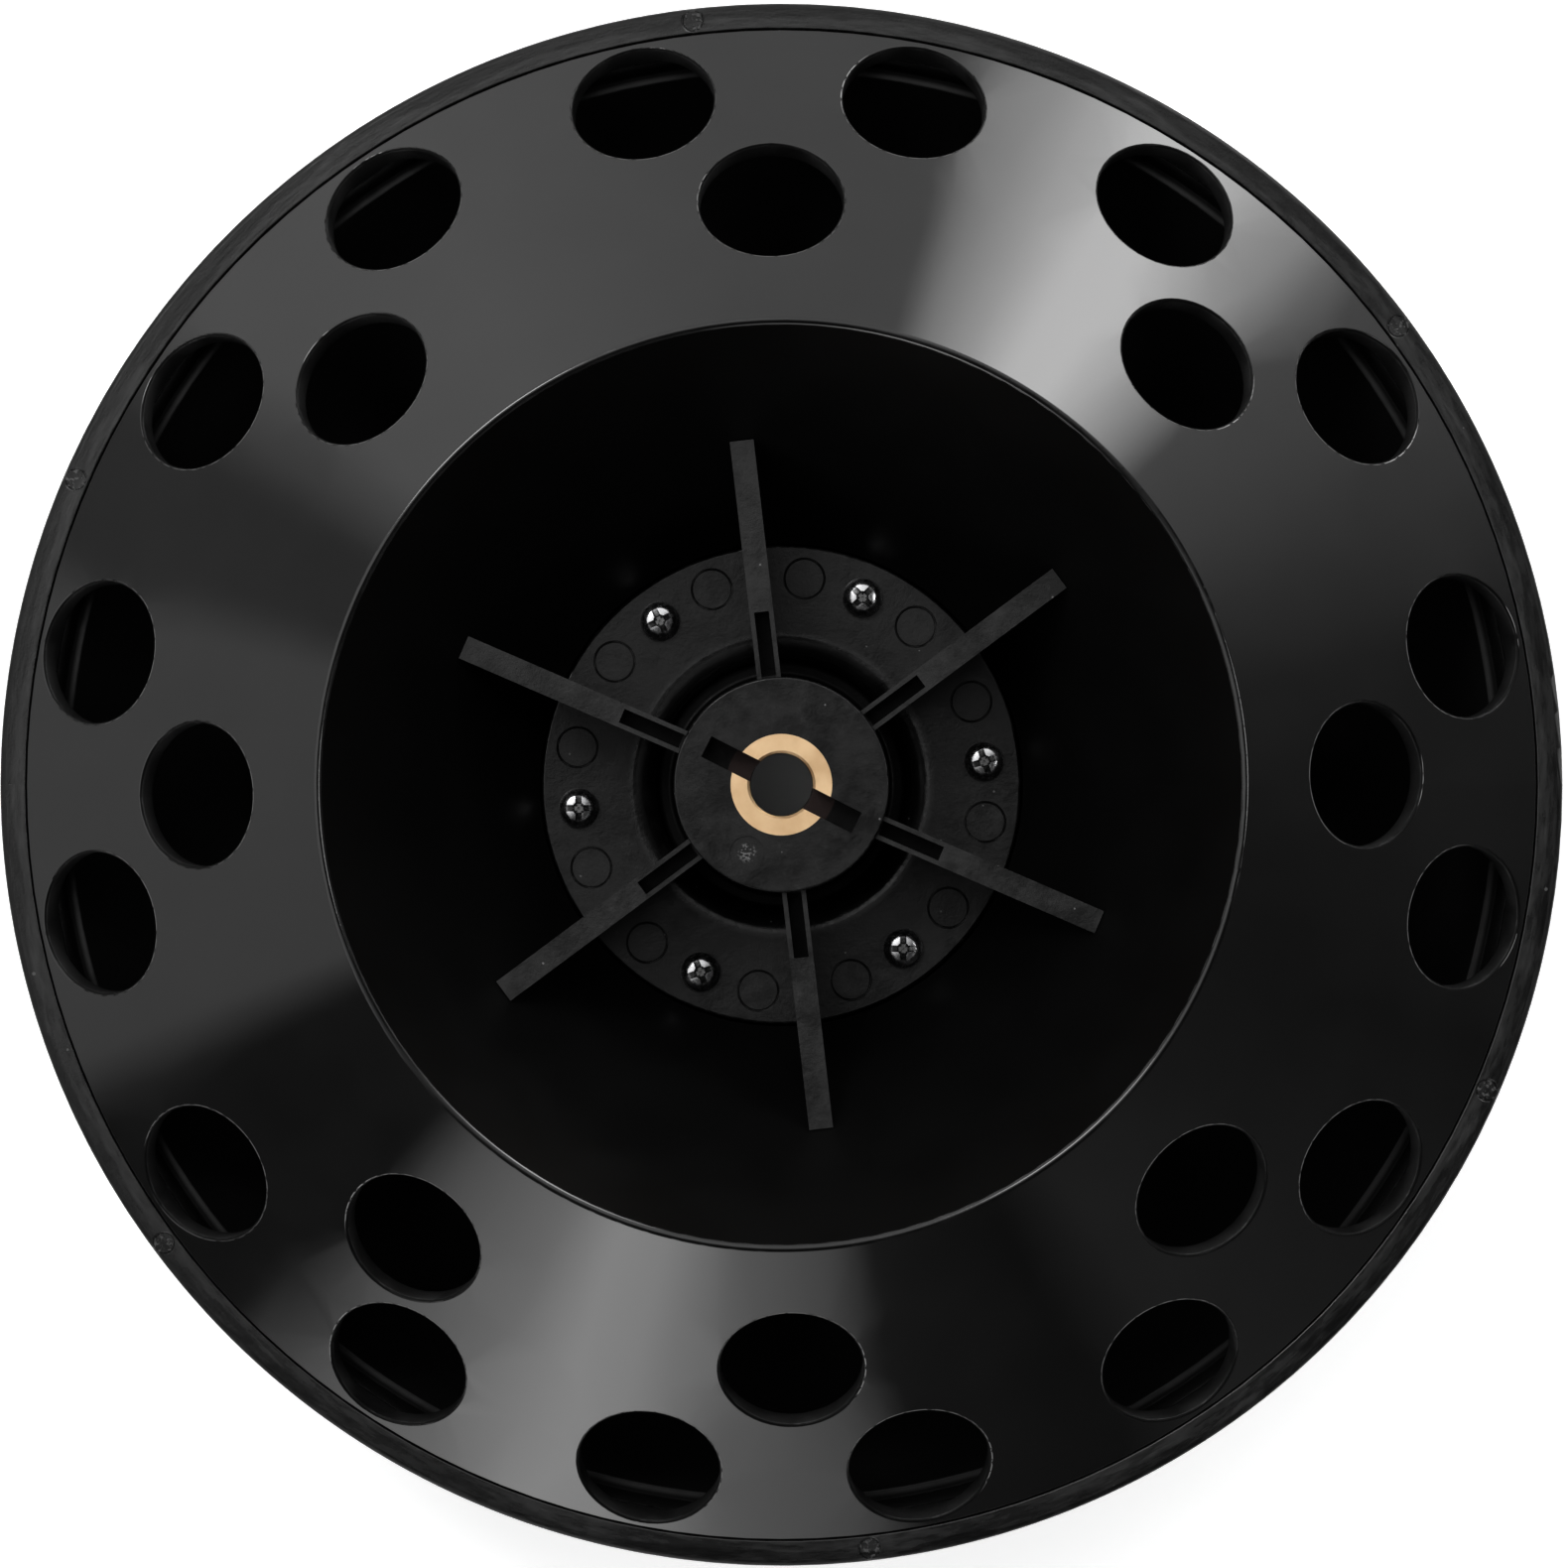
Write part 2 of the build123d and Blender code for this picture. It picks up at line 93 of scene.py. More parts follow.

# bands over which a finish, a painted shade or a painted highlight changes, from one end to the
# other
BORE_SHINE = (0.3, 2.6)       # painted shade sets in over this depth under the cone's face, along the tube
LEDGE_SHINE = (0.05, 0.60)    # to each side of the painted highlight line
DRAG_BORDER_R = 110.0         # wavy border of the rim's drag marks
DRAG_BORDER_SWING = 9
DRAG_BORDER_FADE = (-0.25, 0.25)
WALL_SHADE_FOOT = (1.5, 3.5)  # over the flange's face
WALL_SHADE_TOP = (-2.0, -0.6)  # over the fins' tops
SLOT_SHADE = (-2.5, -0.8)     # over the tower's top
GROOVE_SHADE = (-3.4, -2.0)   # over the flange's face
SHOULDER_SHINE = (-2.4, -1.2)  # over the flange's face
SHOULDER_R = (20.6, 22.4)
BRASS_SHADE = (-1.6, -0.5)    # over the tower's top
RECESS_SHADE = (-0.45, -0.10)  # over the flat of a screw's head
RECESS_SHADE_R = 1.95
# a point belongs to a flat face within this height of it
RIM_FACE_NEAR = 0.5
FLANGE_FACE_NEAR = 0.5
FIN_TOP_NEAR = 0.4
TOWER_TOP_NEAR = 0.3
DATE_FIELD_NEAR = 1.0

# screws
SCREW_CIRCLE_R = 29.6
SCREW_START = 6.6
SHANK_R = 1.5
SHANK_BREAK = 0.4             # chamfer at the tip
HEAD_R = 2.9
HEAD_FOOT_BREAK = 0.1
HEAD_HEIGHT = 2.2
HEAD_CROWN = 0.12             # how much the flat middle rises towards the axis
HEAD_FLAT_R = 1.78            # flat middle of the head, with the cross recess in it
HEAD_BREAK = 30.0             # slope where the flat middle ends
HEAD_SIDE = 86.0              # slope at the head's edge
DOME_STEPS = 10
HEAD_SEGMENTS = 64
# half length and half width of a recess arm, and the height over the head's flat
RECESS_FOOT = (0.62, 0.24, -1.6)
RECESS_TOP = (1.92, 0.49, 0.2)
RECESS_CONE_R = 0.98
RECESS_CONE_DEPTH = 2.0
RECESS_SEGMENTS = 24
CROSS_TURNS = (18, 45, 26, 0, 20, 0)

# bead over the well's edge
BEAD_EXTRA = 0.03             # larger than the edge and lower by this, so it covers the edge
BEAD_STEPS = 14
BEAD_SEGMENTS = 720

# ---- camera ----------------------------------------------------------------------------
IMAGE_WIDTH_PX = 1578
IMAGE_HEIGHT_PX = 1580
RIM_RADIUS_PX = 787.7
RIM_CENTRE_PX = (787.4, 790.7)
SENSOR_MM = 36.0
CAMERA_RISE = 0.950           # over the rim plane

# ---- studio ----------------------------------------------------------------------------
RING_RADIUS = 2.5             # cards round the rotor, mirrored in the glossy cone
RING_LOW = 0.10
RING_HIGH = 1.45
RING_STEPS = 180
CEILING_Z = 2.9               # large soft ceiling, brighter towards one side
CEILING_AZIMUTH = 128.0
CEILING_SPAN = (-0.20, 0.75)
CEILING_LEVELS = (0.03, 1.45)
CEILING_SEGMENTS = 96
FLOOR_SIZE = 12
FLOOR_WHITE = 0.9
FLOOR_GLOW = 0.55             # what the camera sees on top of the lit floor
FLOOR_GLOW_SPAN = (0.5 * RIM_R, 0.9 * RIM_R)
WORLD_LIGHT = 0.55            # on everything but the camera and mirrors, which see 1
LAMP_DISTANCE = 2.4
LAMP_SIZE = 0.7
# name, azimuth, elevation and watts
LAMPS = (("key_soft", 130, 55, 14), ("fill_soft", 5, 50, 7))
# azimuth in degrees, and how bright the cards are there (1 is white)
CARDS = [
    (0, 0.12), (12, 0.18), (22, 0.45), (31, 0.80), (41, 1.10), (46, 4.2), (50, 6.6),
    (56, 10.2), (61, 9.9), (66, 6.5), (72, 3.6), (75.5, 1.08), (95, 1.10), (122, 1.50),
    (141, 1.42), (151, 0.38), (161, 0.38), (166, 0.85), (201, 0.80), (206, 0.07),
    (224, 0.06), (231, 1.4), (243, 2.7), (250, 4.8), (256, 4.3), (265, 1.9), (276, 1.05),
    (281, 0.10), (297, 0.05), (305, 0.20), (338, 0.07), (360, 0.12),
]
CARD_PEAK = max(level for _, level in CARDS)

FLANGE_Z = RIM_Z + FLANGE_FACE_H * MM
FIN_TOP_Z = RIM_Z + FIN_TOP_H * MM


# ---- shader helpers ----------------------------------------------------------------------
def grey(level):
    return (level, level, level)


def band(span, start=0.0):
    """Both ends in metres of a span in millimetres that is measured from the start."""
    return start + span[0] * MM, start + span[1] * MM


class Finish:
    """A material under construction, with short names for the nodes most finishes use.

    Values are numbers or sockets."""

    SOCKETS = {
        "base": "Base Color",
        "rough": "Roughness",
        "normal": "Normal",
        "gloss": "Specular IOR Level",
    }

    def __init__(self, name, **levels):
        self.material = bpy.data.materials.new(name)
        self.material.use_nodes = True
        self.nodes = self.material.node_tree.nodes
        self.links = self.material.node_tree.links
        self.shader = self.nodes["Principled BSDF"]
        self.at = self.nodes.new("ShaderNodeTexCoord").outputs["Object"]
        for key, level in levels.items():
            self.shader.inputs[self.SOCKETS[key]].default_value = level

    def put(self, value, socket):
        """Sets a socket to a number, or links it."""
        if isinstance(value, (int, float)):
            socket.default_value = value
        else:
            self.links.new(value, socket)

    def math(self, operation, first, second=None, clamp=False):
        node = self.nodes.new("ShaderNodeMath")
        node.operation = operation
        node.use_clamp = clamp
        self.put(first, node.inputs[0])
        if second is not None:
            self.put(second, node.inputs[1])
        return node.outputs["Value"]

    def add(self, first, second):
        return self.math("ADD", first, second)

    def less(self, first, second):
        return self.math("SUBTRACT", first, second)

    def times(self, first, second):
        return self.math("MULTIPLY", first, second)

    def larger(self, first, second):
        return self.math("MAXIMUM", first, second)

    def above(self, value, limit):
        return self.math("GREATER_THAN", value, limit)

    def below(self, value, limit):
        return self.math("LESS_THAN", value, limit)

    def away(self, value, middle):
        """How far a value is from the middle."""
        return self.math("ABSOLUTE", self.less(value, middle))

    def length(self, x, y):
        return self.math("SQRT", self.add(self.times(x, x), self.times(y, y)))

    def place(self):
        """X, Y and Z sockets of the object's own coordinates."""
        separate = self.nodes.new("ShaderNodeSeparateXYZ")
        self.links.new(self.at, separate.inputs["Vector"])
        return separate.outputs["X"], separate.outputs["Y"], separate.outputs["Z"]

    def polar(self):
        """Distance from the spin axis, azimuth in radians, and height."""
        x, y, z = self.place()
        return self.length(x, y), self.math("ARCTAN2", y, x), z

    def spread(self, value, low, high, to_low, to_high):
        """Maps low..high onto to_low..to_high, clamped."""
        node = self.nodes.new("ShaderNodeMapRange")
        node.inputs["From Min"].default_value = low
        node.inputs["From Max"].default_value = high
        node.inputs["To Min"].default_value = to_low
        node.inputs["To Max"].default_value = to_high
        self.links.new(value, node.inputs["Value"])
        return node.outputs["Result"]

    def rise(self, value, low, high):
        """0 up to low, 1 from high on."""
        return self.spread(value, low, high, 0, 1)

    def fall(self, value, low, high):
        """1 up to low, 0 from high on."""
        return self.spread(value, low, high, 1, 0)

    def noise(self, scale, detail=4.0, roughness=0.55, at=None):
        node = self.nodes.new("ShaderNodeTexNoise")
        node.inputs["Scale"].default_value = scale
        node.inputs["Detail"].default_value = detail
        node.inputs["Roughness"].default_value = roughness
        self.links.new(self.at if at is None else at, node.inputs["Vector"])
        return node.outputs["Fac"]

    def vector(self, x, y, z):
        node = self.nodes.new("ShaderNodeCombineXYZ")
        for name, value in zip("XYZ", (x, y, z)):
            self.put(value, node.inputs[name])
        return node.outputs["Vector"]

    def specks(self, scale, size, share):
        """Sparse small dots, such as dust: 1 on a dot and 0 elsewhere."""
        node = self.nodes.new("ShaderNodeTexVoronoi")
        node.inputs["Scale"].default_value = scale
        self.links.new(self.at, node.inputs["Vector"])
        split = self.nodes.new("ShaderNodeSeparateColor")
        self.links.new(node.outputs["Color"], split.inputs["Color"])
        near = self.below(node.outputs["Distance"], size)
        chosen = self.below(split.outputs["Red"], share)
        return self.times(near, chosen)

    def mix(self, factor, first, second):
        """Colour mix: each end is a grey level, an (r, g, b) or a socket."""
        node = self.nodes.new("ShaderNodeMix")
        node.data_type = "RGBA"
        self.links.new(factor, node.inputs["Factor"])
        colours = [socket for socket in node.inputs if socket.type == "RGBA"]
        for socket, value in zip(colours, (first, second)):
            if isinstance(value, float):
                value = grey(value)
            if isinstance(value, tuple):
                socket.default_value = (*value, 1)
            else:
                self.links.new(value, socket)
        return [socket for socket in node.outputs if socket.type == "RGBA"][0]

    def bump(self, height, strength, distance, under=None):
        node = self.nodes.new("ShaderNodeBump")
        node.inputs["Strength"].default_value = strength
        node.inputs["Distance"].default_value = distance
        self.links.new(height, node.inputs["Height"])
        if under is not None:
            self.links.new(under, node.inputs["Normal"])
        return node.outputs["Normal"]

    def wire(self, **sockets):
        """Links values to the shader's sockets, and gives the finished material."""
        for key, value in sockets.items():
            self.links.new(value, self.shader.inputs[self.SOCKETS[key]])
        return self.material


def mark_reach(finish, radius, azimuth, circle, turn):
    """Distance in the plane from the nearest of the marks that repeat with every fin."""
    pitch = math.radians(FIN_PITCH)
    step = finish.math("DIVIDE", finish.less(azimuth, math.radians(FIN_START)), pitch)
    saw = finish.less(finish.math("FRACT", finish.add(step, 0.5)), 0.5)
    folded = finish.times(finish.math("ABSOLUTE", saw), pitch)
    lean = math.radians(turn)
    along_x = finish.times(radius, finish.math("COSINE", folded))
    along_y = finish.times(radius, finish.math("SINE", folded))
    off_x = finish.less(along_x, circle * MM * math.cos(lean))
    off_y = finish.less(along_y, circle * MM * math.sin(lean))
    return finish.length(off_x, off_y)


def mark_outline(finish, reach, diameter, line):
    """1 on a mark's outline and 0 away from it."""
    return finish.fall(finish.away(reach, diameter / 2 * MM), *band(line))


# ---- finishes of the rotor -----------------------------------------------------------------
def plain_plastic(name, grain, tone_span, tones, rough_span, roughs, skin, gloss=0.5):
    """Black plastic whose tone and roughness wander with one noise.

    grain is the noise's scale, detail and roughness. The skin's bump is a noise of its own,
    or None for the same one, then its strength and distance."""
    finish = Finish(name, gloss=gloss)
    wear = finish.noise(*grain)
    relief, strength, distance = skin
    relief = wear if relief is None else finish.noise(*relief)
    return finish.wire(
        base=finish.mix(finish.rise(wear, *tone_span), *tones),
        rough=finish.spread(wear, *rough_span, *roughs),
        normal=finish.bump(relief, strength, distance),
    )


def gloss_plastic():
    """Polished black thermoplastic: faint haze and hairlines, sharp reflections."""
    return plain_plastic(
        "gloss_black_plastic",
        grain=(60, 5),
        tone_span=(0.35, 0.65), tones=(0.0026, 0.0042),
        rough_span=(0.35, 0.65), roughs=(0.045, 0.085),
        skin=((900, 3), 0.03, 0.00005),
    )


def bead_plastic():
    """The polished plastic on the well's edge, a little worn."""
    return plain_plastic(
        "edge_black_plastic",
        grain=(190, 5, 0.65),
        tone_span=(0.45, 0.70), tones=(0.0026, 0.0070),
        rough_span=(0.40, 0.62), roughs=(0.07, 0.18),
        skin=(None, 0.15, 0.0001),
        gloss=0.44,
    )


def corner_plastic():
    """The rim's rounded corners: duller than its face."""
    return plain_plastic(
        "dull_corner_plastic",
        grain=(260, 5, 0.65),
        tone_span=(0.45, 0.70), tones=(0.0035, 0.0100),
        rough_span=(0.40, 0.62), roughs=(0.34, 0.52),
        skin=(None, 0.2, 0.0001),
        gloss=0.16,
    )


def well_plastic():
    """The same plastic where the mould wasn't polished: a satin black."""
    return plain_plastic(
        "satin_black_plastic",
        grain=(90, 4),
        tone_span=(0, 1), tones=(0.0016, 0.0026),
        rough_span=(0.35, 0.65), roughs=(0.28, 0.36),
        skin=((1500, 3), 0.04, 0.0001),
        gloss=0.045,
    )


def edge_plastic():
    """Rounded edges of the bottom holes: a little torn, so that they shine in places."""
    return plain_plastic(
        "worn_black_plastic",
        grain=(230, 5, 0.65),
        tone_span=(0.45, 0.70), tones=(0.0022, 0.0060),
        rough_span=(0.40, 0.62), roughs=(0.48, 0.18),
        skin=(None, 0.5, 0.0003),
        gloss=0.06,
    )


def shaded_plastic(finish, shine, grain, dark, worn, roughs, glosses, skin):
    """Unpolished plastic with painted light and shade: nearly black where shine is 0, lighter and
    glossier where it is 1, its tone wandering with a noise.
    """
    cloud = finish.noise(*grain)
    relief, strength, distance = skin
    # worn holds the lighter tones of the painted light where shine is 1, and the noise wanders
    # between them
    return finish.wire(
        base=finish.mix(shine, dark, finish.mix(finish.rise(cloud, 0.35, 0.65), *worn)),
        rough=finish.spread(cloud, 0.35, 0.65, *roughs),
        gloss=finish.spread(shine, 0, 1, *glosses),
        normal=finish.bump(finish.noise(*relief), strength, distance),
    )


def bore_plastic():
    """Inside of the tube channels, with painted shade: duller and darker the deeper it lies under
    the cone.
    """
    finish = Finish("dull_black_plastic", gloss=0.07)
    radius, _, height = finish.polar()
    slope = math.tan(math.radians(TUBE_TILT))
    cone = finish.times(finish.less(SHELL_EDGE_R * MM, radius), slope)
    upright = finish.less(cone, finish.less(height, RIM_Z))
    depth = finish.times(upright, math.cos(math.radians(TUBE_TILT)))
    # painted shade: darker and less glossy away from the channel's mouth
    return shaded_plastic(
        finish,
        shine=finish.fall(depth, *band(BORE_SHINE)),
        grain=(160, 5, 0.65),
        dark=0.0048, worn=(0.004, 0.016),
        roughs=(0.30, 0.50), glosses=(0.05, 0.42),
        skin=((700, 4), 0.35, 0.0002),
    )


def inner_plastic():
    """Inside of the upper shell, seen through the bottom holes, with a painted highlight along its
    ledge.
    """
    finish = Finish("raw_black_plastic", gloss=0.06)
    # painted highlight: lighter and glossier along a line on the ledge
    off_ledge = finish.away(finish.polar()[0], LEDGE_SHINE_R * MM)
    return shaded_plastic(
        finish,
        shine=finish.fall(off_ledge, *band(LEDGE_SHINE)),
        grain=(220, 5, 0.65),
        dark=0.0034, worn=(0.0060, 0.0110),
        roughs=(0.34, 0.50), glosses=(0.05, 0.32),
        skin=((900, 4), 0.25, 0.0001),
    )


def rim_plastic():
    """Moulded black thermoplastic with drag marks round the rim and a little dust."""
    finish = Finish("matte_black_plastic", gloss=0.40)
    radius, azimuth, height = finish.polar()
    around = finish.vector(
        finish.times(radius, 1400), finish.times(azimuth, 26), finish.times(height, 500)
    )
    streaks = finish.noise(1.0, 5, 0.6, around)
    cloud = finish.noise(70, 6, 0.6)
    dust = finish.specks(420, 0.11, 0.05)
    # a wavy border between the dragged inner part of the rim's face and the plain outer part
    wander = finish.noise(1.0, 3, 0.6, finish.vector(finish.times(azimuth, 2.6), 0, 0))
    swing = finish.times(finish.less(wander, 0.5), DRAG_BORDER_SWING * MM)
    border = finish.add(swing, DRAG_BORDER_R * MM)
    dragged = finish.rise(finish.less(border, radius), *band(DRAG_BORDER_FADE))
    streaked = finish.times(finish.rise(streaks, 0.40, 0.68), finish.spread(dragged, 0, 1, 0.35, 1))
    # ejector marks: an outline, and scars inside
    reach = mark_reach(finish, radius, azimuth, RIM_MARK_R, 0.0)
    on_face = finish.above(height, RIM_Z - RIM_FACE_NEAR * MM)
    outline = finish.times(mark_outline(finish, reach, RIM_MARK_D, RIM_MARK_LINE), on_face)
    inside = finish.times(finish.below(reach, RIM_MARK_D / 2 * MM), on_face)
    scars = finish.times(finish.rise(finish.noise(1500, 3), 0.54, 0.60), inside)
    base = finish.mix(streaked, 0.0030, 0.0110)
    for share, tone in ((outline, 0.0012), (scars, 0.055), (dust, 0.060)):
        base = finish.mix(share, base, tone)
    fine = finish.noise(2600, 4)
    rough = finish.spread(finish.add(streaks, cloud), 0.80, 1.20, 0.16, 0.34)
    skin = finish.bump(fine, 0.14, 0.0001, finish.bump(streaks, 0.2, 0.0002))
    return finish.wire(
        base=base,
        rough=finish.add(rough, finish.spread(dragged, 0, 1, 0, 0.07)),
        gloss=finish.spread(dragged, 0, 1, 0.36, 0.46),
        normal=finish.bump(finish.less(scars, outline), 0.7, 0.0002, skin),
    )


def date_specks(finish, height):
    """The mould insert in the tower's top: raised specks in a small round field."""
    x, y, _ = finish.place()
    turn = math.radians(DATE_MARK_ANGLE)
    off_x = finish.less(x, DATE_MARK_R * MM * math.cos(turn))
    off_y = finish.less(y, DATE_MARK_R * MM * math.sin(turn))
    field = finish.fall(finish.length(off_x, off_y), *band(DATE_FIELD))
    field = finish.times(field, finish.above(height, TOWER_TOP_Z - DATE_FIELD_NEAR * MM))
    return finish.times(field, finish.rise(finish.noise(2300, 2, 0.5), 0.52, 0.58))


def hub_shade(finish, radius, height):
    """1 on what takes little light: walls outside the tower, the slot, the groove."""
    over_flange = finish.rise(height, *band(WALL_SHADE_FOOT, FLANGE_Z))
    under_fin_top = finish.fall(height, *band(WALL_SHADE_TOP, FIN_TOP_Z))
    off_tower = finish.above(radius, OFF_TOWER_R * MM)
    walls = finish.times(finish.times(over_flange, under_fin_top), off_tower)
    slot = finish.spread(height, *band(SLOT_SHADE, TOWER_TOP_Z), 0.85, 0)
    slot = finish.times(slot, finish.below(radius, SLOT_REACH * MM))
    groove = finish.fall(height, *band(GROOVE_SHADE, FLANGE_Z))
    return finish.larger(finish.larger(walls, slot), groove)


def hub_plastic():
    """Moulded black thermoplastic: ejector marks, the round date insert, scuffs and dust, and
    painted shade on the walls, the slot and the groove.
    """
    finish = Finish("hub_black_plastic", gloss=0.30)
    radius, azimuth, height = finish.polar()
    on_flange = finish.below(height, FLANGE_Z + FLANGE_FACE_NEAR * MM)
    # ejector marks: a broken outline, and a rubbed middle
    reach = mark_reach(finish, radius, azimuth, HUB_MARK_R, HUB_MARK_TURN)
    outline = finish.times(mark_outline(finish, reach, HUB_MARK_D, HUB_MARK_LINE), on_flange)
    outline = finish.times(outline, finish.spread(finish.noise(240, 3), 0.38, 0.58, 0.35, 1))
    inside = finish.times(finish.fall(reach, *band(HUB_MARK_FACE)), on_flange)
    # the shoulder round the groove is rubbed smooth
    shoulder = finish.times(
        finish.rise(height, *band(SHOULDER_SHINE, FLANGE_Z)),
        finish.fall(radius, *band(SHOULDER_R)),
    )
    shoulder = finish.times(shoulder, on_flange)
    # painted shade: the walls outside the tower, the slot and the groove are made darker and less
    # glossy, and so is each mark's outline
    dull = finish.math("MAXIMUM", hub_shade(finish, radius, height), outline, clamp=True)
    # the moulded surface
    cloud = finish.noise(110, 6, 0.62)
    blotch = finish.noise(260, 5, 0.7)
    uneven = finish.add(cloud, blotch)
    scuff = finish.rise(finish.noise(520, 6, 0.7), 0.60, 0.72)
    dust = finish.specks(650, 0.10, 0.06)
    specks = date_specks(finish, height)
    rubbed = finish.times(inside, finish.rise(blotch, 0.42, 0.62))
    # tones, the last of them the painted shade on the walls, the slot and the groove, together with
    # the marks' darker outlines
    base = finish.mix(finish.rise(uneven, 0.85, 1.15), 0.0016, 0.0050)
    layers = ((scuff, 0.012), (rubbed, 0.0105), (finish.larger(dust, specks), 0.11), (dull, 0.0018))
    for share, tone in layers:
        base = finish.mix(share, base, tone)
    # the shoulder and the fins' tops shine more, the tower's top less
    fin_tops = finish.times(
        finish.above(height, FIN_TOP_Z - FIN_TOP_NEAR * MM),
        finish.below(height, FIN_TOP_Z + FIN_TOP_NEAR * MM),
    )
    tower_top = finish.above(height, TOWER_TOP_Z - TOWER_TOP_NEAR * MM)
    polish = finish.add(finish.spread(shoulder, 0, 1, 1, 2.4), finish.times(fin_tops, 0.35))
    polish = finish.less(polish, finish.times(tower_top, 0.10))
    skin = finish.bump(finish.noise(2200, 4), 0.16, 0.0001)
    skin = finish.bump(blotch, 0.22, 0.0003, skin)
    rough = finish.spread(uneven, 0.85, 1.15, 0.28, 0.46)
    return finish.wire(
        base=base,
        rough=finish.times(rough, finish.spread(shoulder, 0, 1, 1, 0.45)),
        normal=finish.bump(finish.less(specks, outline), 0.6, 0.00025, skin),
        gloss=finish.times(finish.spread(dull, 0, 1, 0.30, 0.06), polish),
    )


def turned_brass(name):
    """Brass with fine turning marks round the spin axis, and painted shade that makes it dark from
    a little under the tower's top down, as in the drive slot.
    """
    finish = Finish(name)
    radius, _, height = finish.polar()
    marks = finish.nodes.new("ShaderNodeTexNoise")
    marks.noise_dimensions = "1D"
    marks.inputs["Scale"].default_value = 5200
    marks.inputs["Detail"].default_value = 4
    finish.links.new(radius, marks.inputs["W"])
    tone = finish.noise(260, 4)
    bright = finish.mix(finish.rise(tone, 0.35, 0.65), (0.77, 0.51, 0.28), (0.84, 0.60, 0.355))
    # painted shade: dark from a little under the tower's top down
    painted_shade_under_top = finish.fall(height, *band(BRASS_SHADE, TOWER_TOP_Z))
    finish.shader.inputs["Metallic"].default_value = 1.0
    return finish.wire(
        base=finish.mix(painted_shade_under_top, bright, (0.028, 0.021, 0.020)),
        rough=finish.spread(tone, 0.35, 0.65, 0.42, 0.52),
        normal=finish.bump(marks.outputs["Fac"], 0.10, 0.00004),
    )


def plated_steel():
    """Bright plating, a little uneven, and painted shade, grey, down in the cross recess."""
    finish = Finish("plated_steel")
    radius, _, height = finish.polar()
    tone = finish.noise(1300, 5)
    plating = finish.mix(finish.rise(tone, 0.35, 0.65), (0.46, 0.46, 0.47), (0.76, 0.76, 0.77))
    # painted shade in the cross recess
    painted_recess_shade = finish.fall(height, *band(RECESS_SHADE, HEAD_HEIGHT * MM))
    painted_recess_shade = finish.times(painted_recess_shade, finish.below(radius, RECESS_SHADE_R * MM))
    finish.shader.inputs["Metallic"].default_value = 1.0
    return finish.wire(
        base=finish.mix(painted_recess_shade, plating, 0.20),
        rough=finish.spread(tone, 0.35, 0.65, 0.20, 0.30),
        normal=finish.bump(tone, 0.15, 0.0001),
    )


def dress(node, *materials):
    """Gives a CAD node its finishes, the first of them on all its faces, and its mesh."""
    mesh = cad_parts[node].data
    mesh.materials.clear()
    for material in materials:
        mesh.materials.append(material)
    return mesh


def sort_lower_faces(mesh):
    """Well wall (1), channel walls (2) and hole edges (3) of the lower shell."""
    tilt = math.radians(TUBE_TILT)
    for face in mesh.polygons:
        x, y, _ = face.center
        radius = math.hypot(x, y)
        outward = (face.normal.x * x + face.normal.y * y) / radius
        along_tube = outward * math.sin(tilt) + face.normal.z * math.cos(tilt)
        on_cone = radius > (WELL_EDGE_R + 2 * WELL_EDGE_ROUND) * MM
        if radius < (WELL_EDGE_R - WELL_EDGE_ROUND) * MM:
            face.material_index = 1
        elif abs(along_tube) < WALL_ALONG:
            face.material_index = 2
        elif abs(along_tube) < EDGE_ALONG and on_cone:
            face.material_index = 3


def sort_upper_faces(mesh):
    """Inside of the upper shell (1) and the rim's rounded outer corners (2)."""
    slope = math.tan(math.radians(TUBE_TILT))
    for face in mesh.polygons:
        x, y, z = face.center
        radius = math.hypot(x, y) / MM
        height = (z - RIM_Z) / MM
        within_skirt = radius < SKIRT_IN_R + slope * height + 2.0
        over_deck = height > slope * (SHELL_EDGE_R - radius) - DECK_DROP + 1.0
        at_corner = radius > RIM_R / MM - RIM_EDGE_ROUND
        if within_skirt and over_deck and height < -INSIDE_DEPTH:
            face.material_index = 1
        elif at_corner and CORNER_UP[0] < abs(face.normal.z) < CORNER_UP[1]:
            face.material_index = 2


# ---- pieces ----------------------------------------------------------------------------------
def piece_of(name, corners, faces):
    """New object in the scene, from corners and faces."""
    mesh = bpy.data.meshes.new(name)
    mesh.from_pydata(corners, [], faces)
    piece = bpy.data.objects.new(name, mesh)
    bpy.context.scene.collection.objects.link(piece)
    return piece


def lathe(name, profile, segments, closed=False):
    """Turned solid from (radius, z) points. Open profiles start and end on the axis."""
    corners = []
    rows = []
    for radius, z in profile:
        if radius == 0:
            rows.append([len(corners)] * segments)
            corners.append((0, 0, z))
            continue
        rows.append(list(range(len(corners), len(corners) + segments)))
        for step in range(segments):
            turn = 2 * math.pi * step / segments
            corners.append((radius * math.cos(turn), radius * math.sin(turn), z))
    faces = []
    pairs = list(zip(rows, rows[1:] + rows[:1])) if closed else list(zip(rows, rows[1:]))
    for low, high in pairs:
        for step in range(segments):
            after = (step + 1) % segments
            quad = [low[step], low[after], high[after], high[step]]
            faces.append(list(dict.fromkeys(quad)))
    return piece_of(name, corners, faces)


def smooth(piece, angle=32.0):
    """Smooth shading, with sharp edges where faces meet at more than the angle."""
    sheet = bmesh.new()
    sheet.from_mesh(piece.data)
    for face in sheet.faces:
        face.smooth = True
    for edge in sheet.edges:
        edge.smooth = edge.calc_face_angle(0.0) < math.radians(angle)
    sheet.to_mesh(piece.data)
    sheet.free()


